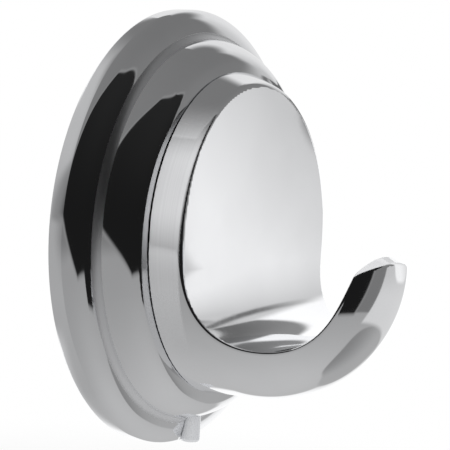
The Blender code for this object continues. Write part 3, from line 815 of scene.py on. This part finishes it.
def metal(name, tint, dull, rough, grain, depth, shine=1.0):
    """Plated or bare steel and zinc: blotchy finish, fine grain and specks of wear."""
    material, tree, shader, place = surface(name)
    blotch = tree.noise(place, 140.0, 4.0, 0.6)
    speck = tree.noise(place, grain, 5.0, 0.7)
    base = tree.colours(tree.smooth(blotch, 0.3, 0.7), tint, dull)
    tree.feed(shader.inputs["Base Color"], tree.colours(tree.smooth(speck, 0.62, 0.8, 0.0, 0.6), base, dull))
    shader.inputs["Metallic"].default_value = shine
    tree.feed(shader.inputs["Roughness"], tree.smooth(blotch, 0.25, 0.75, rough, rough + 0.15))
    bump = tree.node("ShaderNodeBump", None, Height=speck, Distance=depth * MM, Strength=1.0)
    tree.feed(shader.inputs["Normal"], bump.outputs[0])
    return material


def nylon(name, tint, dull):
    """Moulded nylon: a soft sheen, a fine spark-eroded grain and faint flow marks."""
    material, tree, shader, place = surface(name)
    flow = tree.noise(place, 120.0, 2.0, 0.5, 1.5)
    grain = tree.noise(place, 2600.0, 3.0)
    tree.feed(shader.inputs["Base Color"], tree.colours(tree.smooth(flow, 0.3, 0.7), tint, dull))
    tree.feed(shader.inputs["Roughness"], tree.smooth(grain, 0.3, 0.7, 0.42, 0.58))
    shader.inputs["Subsurface Weight"].default_value = 0.05
    shader.inputs["Subsurface Scale"].default_value = MM
    bump = tree.node("ShaderNodeBump", None, Height=grain, Distance=0.02 * MM, Strength=1.0)
    tree.feed(shader.inputs["Normal"], bump.outputs[0])
    return material


def make_pieces():
    silver = chrome("rosette_chrome_skin", (0.86, 0.865, 0.88), 0.95, 0.13, corners=rosette_crease)
    # The hook's chrome carries a painted reflection on the neck and on the horn's up-facing end.
    bright = chrome("hook_chrome_skin", (0.88, 0.885, 0.9), 0.96, 0.37, painted_reflection=hook_painted_reflection)
    cap_zinc = metal("retaining_screw_skin", (0.62, 0.63, 0.65), (0.45, 0.46, 0.48), 0.28, 1800.0, 0.02)
    flat_zinc = metal("retaining_washer_skin", (0.66, 0.67, 0.68), (0.5, 0.5, 0.5), 0.32, 1500.0, 0.02)
    spring = metal("lock_washer_skin", (0.45, 0.45, 0.46), (0.3, 0.3, 0.3), 0.34, 1500.0, 0.02)
    cast = metal("wall_bracket_skin", (0.55, 0.56, 0.58), (0.4, 0.41, 0.43), 0.42, 900.0, 0.05)
    yellow = metal("wall_screw_skin", (0.68, 0.65, 0.53), (0.55, 0.53, 0.46), 0.28, 1800.0, 0.02)
    grey = nylon("wall_anchor_skin", (0.55, 0.56, 0.58), (0.46, 0.47, 0.49))
    steel = metal("set_screw_skin", (0.9, 0.91, 0.93), (0.82, 0.83, 0.86), 0.22, 1600.0, 0.01, 0.35)

    r, top = FLANGE_R, SEAT_DEPTH
    make_piece("rosette_skin", rosette_field, (-r, 0, -r), (r, top, r), SKIN_CELL,
               "cover", "rosette", silver)
    throat = ThroatField()
    low = (-SEAT_R, SPIGOT_BACK, -DOME_DROP - DOME_HALF_HEIGHT)
    high = (SEAT_R, DOME_DEPTH + DOME_REACH, SEAT_R)
    make_piece("hook_body_skin", lambda points: hook_field(points, throat), low, high, SKIN_CELL,
               "cover", "hook_body", bright)
    r, tip = RETAINER_HEAD_R, FACE_DEPTH - FACE_SKIN - GAP
    make_piece("retaining_screw_skin", retaining_screw_field, (-r, RETAINER_BACK, -r), (r, tip, r), SMALL_CELL,
               "cover", "retaining_screw", cap_zinc)
    r = WASHER_R
    make_piece("retaining_washer_skin", washer_field, (-r, WASHER_BACK, -r), (r, WASHER_FRONT, r), 2 * SMALL_CELL,
               "cover", "retaining_washer", flat_zinc)
    r = LOCK_WASHER_R
    make_piece("lock_washer_skin", lock_washer_field, (-r, LOCK_WASHER_BACK, -r), (r, LOCK_WASHER_FRONT, r),
               SMALL_CELL, "cover", "lock_washer", spring)
    r = BRACKET_R
    make_piece("wall_bracket_skin", bracket_field, (-r, 0, -BRACKET_FLAT), (r, BRACKET_DEPTH, r), CAST_CELL,
               "bracket", "wall_bracket", cast)
    r, top = WALL_SCREW_HEAD_R, BRACKET_BASE + GAP + WALL_SCREW_HEAD_H
    low, high = (-r, top - WALL_SCREW_HEAD_H - WALL_SCREW_LENGTH, -r), (r, top, r)
    mesh = make_piece("wall_screw_upper_skin", wall_screw_field, low, high, SMALL_CELL,
                      "bracket", "wall_screw_upper", yellow, SCREW_HEIGHT)
    place_piece("wall_screw_lower_skin", mesh,
                "bracket", "wall_screw_lower", yellow, -SCREW_HEIGHT)
    r = ANCHOR_COLLAR_R
    low, high = (-r, ANCHOR_COLLAR_T - ANCHOR_LENGTH, -r), (r, ANCHOR_COLLAR_T, r)
    mesh = make_piece("wall_anchor_upper_skin", anchor_field, low, high, SMALL_CELL,
                      "bracket", "wall_anchor_upper", grey, SCREW_HEIGHT)
    place_piece("wall_anchor_lower_skin", mesh,
                "bracket", "wall_anchor_lower", grey, -SCREW_HEIGHT)
    r = SET_SCREW_R
    low, high = (-r, STEP_DEPTH - r, -SET_SCREW_FOOT), (r, STEP_DEPTH + r, SET_SCREW_TIP)
    make_piece("set_screw_skin", set_screw_field, low, high, SMALL_CELL,
               "set_screw", "set_screw", steel)


def make_floor():
    mesh = bpy.data.meshes.new("floor")
    h = FLOOR_HALF
    mesh.from_pydata([(-h, -h, 0), (h, -h, 0), (h, h, 0), (-h, h, 0)], [], [(0, 1, 2, 3)])
    floor = bpy.data.objects.new("floor", mesh)
    floor.location.z = -FLOOR_DROP
    bpy.context.scene.collection.objects.link(floor)
    material, tree, shader, place = surface("floor_pale")
    away = tree.node("ShaderNodeVectorMath", {"operation": "LENGTH"}, i0=place).outputs["Value"]
    grain = tree.noise(place, 40.0, 3.0)
    near = tree.colours(tree.smooth(grain, 0.3, 0.7), (FLOOR_PALE,) * 3, (FLOOR_PALE * 0.98,) * 3)
    tree.feed(shader.inputs["Base Color"], tree.colours(tree.smooth(away, 0.12, 0.4), near, (1.0, 1.0, 1.0)))
    shader.inputs["Roughness"].default_value = 1.0
    shader.inputs["Specular IOR Level"].default_value = 0.0
    mesh.materials.append(material)
    floor.visible_glossy = False


class Sky:
    """The inside of the tent: soft cards placed by azimuth from straight ahead and by elevation, in degrees."""

    def __init__(self, tree):
        self.tree = tree
        way = tree.node("ShaderNodeVectorMath", {"operation": "NORMALIZE"},
                        i0=tree.node("ShaderNodeTexCoord").outputs["Object"]).outputs[0]
        x, y, z = tree.node("ShaderNodeSeparateXYZ", None, Vector=way).outputs
        self.azimuth = tree.product(tree.calc("ARCTAN2", x, tree.product(y, -1.0)), math.degrees(1.0))
        self.height = tree.product(tree.calc("ARCSINE", z), math.degrees(1.0))
        self.value = None

    def oval(self, azimuth, height, left, right, up, down, soft, power=2.0):
        """Share of an oval or, with a higher power, a rounded card, with a soft edge."""
        tree = self.tree
        reach = 0.0
        for value, middle, less, more in ((self.azimuth, azimuth, left, right), (self.height, height, down, up)):
            off = tree.total(value, -middle)
            off = tree.total(tree.product(tree.calc("MAXIMUM", off, 0.0), 1.0 / more),
                             tree.product(tree.calc("MINIMUM", off, 0.0), 1.0 / less))
            reach = tree.total(tree.calc("POWER", tree.calc("ABSOLUTE", off), power), reach)
        return tree.smooth(tree.calc("POWER", reach, 1.0 / power), 1.0 - soft, 1.0 + soft, 1.0, 0.0)

    def rows(self, low, high, soft):
        """Share of the heights between two."""
        smooth, height = self.tree.smooth, self.height
        return self.tree.product(smooth(height, low - soft, low + soft), smooth(height, high + soft, high - soft))

    def paint(self, share, value):
        self.value = self.tree.blend(share, self.value, value)


def paint_sides(sky, tree):
    """Pale ground, grey above, white cards behind the rosette's left and right sides."""
    azimuth, height, smooth = sky.azimuth, sky.height, tree.smooth
    ground = smooth(height, -85.0, -8.0, 0.55, 0.35)
    sky.value = tree.blend(smooth(height, -9.0, -2.0), ground, smooth(height, 20.0, 80.0, 0.225, 0.2))
    high = tree.calc("MAXIMUM", height, 0.0)
    edge = tree.total(azimuth, 112.0, tree.product(high, high, high, 0.0002))
    share = tree.product(smooth(edge, 1.0, -1.0), sky.rows(-45.0, 47.0, 8.0))
    sky.paint(share, smooth(height, 0.0, 20.0, 0.43, 0.55))
    gap = tree.calc("SUBTRACT", 1.0, sky.rows(-25.0, 30.0, 4.0))
    sky.paint(tree.product(sky.oval(-180.0, 0.0, 60.0, 66.0, 54.0, 55.0, 0.03, 2.4), gap), 1.1)
    side = tree.total(azimuth, tree.product(height, -0.55), -47.0)
    share = tree.product(smooth(side, -5.0, 8.0), smooth(height, 76.0, 64.0), smooth(height, -2.0, 2.0))
    sky.paint(share, smooth(azimuth, 72.0, 110.0, 0.6, 0.84))
    share = tree.product(smooth(azimuth, 72.0, 98.0), sky.rows(-59.5, -34.0, 2.5))
    sky.paint(share, smooth(azimuth, 80.0, 110.0, 0.7, 1.05))


def paint_front(sky, tree, lean):
    """Cards in front: the horn's and the face's light ones, the throat's dark ones, and the dark doorway."""
    azimuth, height, smooth = sky.azimuth, sky.height, tree.smooth
    share = tree.product(smooth(lean, 30.0, 33.0), sky.rows(-34.0, 1.5, 1.5), smooth(azimuth, 120.0, 110.0))
    sky.paint(share, smooth(height, -5.0, -20.0, 0.6, 0.7))
    horn_card = sky.oval(40.0, -50.0, 29.0, 52.0, 15.0, 18.0, 0.05, 2.6)
    sky.paint(horn_card, smooth(azimuth, 8.0, 60.0, 0.25, 0.42))
    fall = tree.total(tree.product(tree.total(azimuth, -50.0), 1.0 / 30.0), tree.product(height, 1.0 / 35.0))
    fall = tree.calc("MINIMUM", tree.calc("MAXIMUM", fall, 0.0), 1.0)
    face_card = sky.oval(62.0, 8.0, 19.0, 18.0, 20.0, 20.2, 0.06, 4.0)
    sky.paint(face_card, tree.blend(fall, 0.97, 0.65))
    sky.paint(sky.oval(98.0, -10.0, 17.0, 16.0, 16.0, 24.0, 0.2, 3.0), 1.12)
    sky.paint(sky.oval(93.0, 10.0, 19.0, 19.0, 18.0, 8.0, 0.12, 3.0), 1.12)
    bend = tree.total(height, -21.0)
    path = tree.total(azimuth, -68.0, tree.product(bend, bend, -0.04))
    share = tree.product(smooth(path, -3.5, -1.0), smooth(path, 4.0, 0.5), smooth(height, 7.0, 20.0))
    sky.paint(tree.product(share, smooth(height, 34.0, 33.0)), 0.18)
    floor = tree.total(height, -24.5, tree.product(tree.total(azimuth, -77.0), 0.42))
    share = tree.product(smooth(floor, -1.2, 1.2), smooth(azimuth, 76.0, 78.0), smooth(azimuth, 112.0, 108.0))
    sky.paint(tree.product(share, smooth(height, 34.0, 33.0)), smooth(height, 32.0, 18.0, 0.15, 0.28))
    share = tree.product(smooth(lean, 32.0, 31.0), smooth(lean, 13.0, 14.0), sky.rows(-28.0, -1.0, 0.8))
    sky.paint(share, 0.2)
    drop = tree.product(tree.calc("MINIMUM", tree.total(azimuth, 58.0), 0.0), 0.38)
    sill = tree.total(height, 17.5, drop, smooth(azimuth, -26.0, -18.0, 0.0, 11.0))
    rise = tree.calc("MAXIMUM", tree.total(height, -10.0), 0.0)
    post = tree.total(azimuth, 111.8, tree.product(rise, rise, -0.0182))
    for grow, value in ((1.5, 0.27), (0.0, smooth(height, 0.0, 55.0, 0.011, 0.02))):
        top = sky.oval(-38.0, 10.0, 78.0 + grow, 65.0 + grow, 47.5 + grow, 90.0, 0.014, 2.5)
        sides = tree.product(smooth(lean, 15.5 + grow, 13.5 + grow), smooth(post, -0.8 - grow, 0.8 - grow))
        sky.paint(tree.product(top, sides, smooth(sill, -1.0 - grow, 1.0 - grow)), value)


def make_tent():
    """A round tent close about the hook, which only reflections see."""
    mesh = bpy.data.meshes.new("tent")
    ball = bmesh.new()
    bmesh.ops.create_uvsphere(ball, u_segments=96, v_segments=48, radius=TENT_R)
    ball.to_mesh(mesh)
    ball.free()
    tent = bpy.data.objects.new("tent", mesh)
    tent.location = TENT_PLACE
    bpy.context.scene.collection.objects.link(tent)
    material = bpy.data.materials.new("tent_cards")
    material.use_nodes = True
    tree = Tree(material.node_tree)
    sky = Sky(tree)
    paint_sides(sky, tree)
    paint_front(sky, tree, tree.total(sky.azimuth, tree.product(sky.height, -0.57)))
    light = tree.node("ShaderNodeEmission", None, Color=(1.0, 1.0, 1.0, 1.0), Strength=sky.value)
    tree.node("ShaderNodeOutputMaterial", None, Surface=light.outputs[0])
    mesh.materials.append(material)
    for kind in ("camera", "diffuse", "transmission", "volume_scatter", "shadow"):
        setattr(tent, "visible_" + kind, False)


def make_world():
    """Even soft light from all around."""
    world = bpy.data.worlds.new("studio")
    bpy.context.scene.world = world
    world.use_nodes = True
    tree = Tree(world.node_tree)
    light = tree.node("ShaderNodeBackground", None, Color=(1.0, 1.0, 1.0, 1.0), Strength=1.0)
    tree.node("ShaderNodeOutputWorld", None, Surface=light.outputs[0])


def make_camera():
    right, forward = Vector(CAMERA_RIGHT).normalized(), Vector(CAMERA_FORWARD).normalized()
    up = right.cross(forward).normalized()
    data = bpy.data.cameras.new("camera")
    data.lens = CAMERA_LENS
    data.sensor_width = 36.0
    data.clip_start, data.clip_end = 0.01, 50.0
    camera = bpy.data.objects.new("camera", data)
    turn = Matrix((right, up, -forward)).transposed().to_4x4()
    camera.matrix_world = Matrix.Translation(CAMERA_PLACE) @ turn
    bpy.context.scene.collection.objects.link(camera)
    bpy.context.scene.camera = camera


make_pieces()
make_floor()
make_tent()
make_world()
make_camera()
bpy.context.scene.view_settings.view_transform = "Standard"
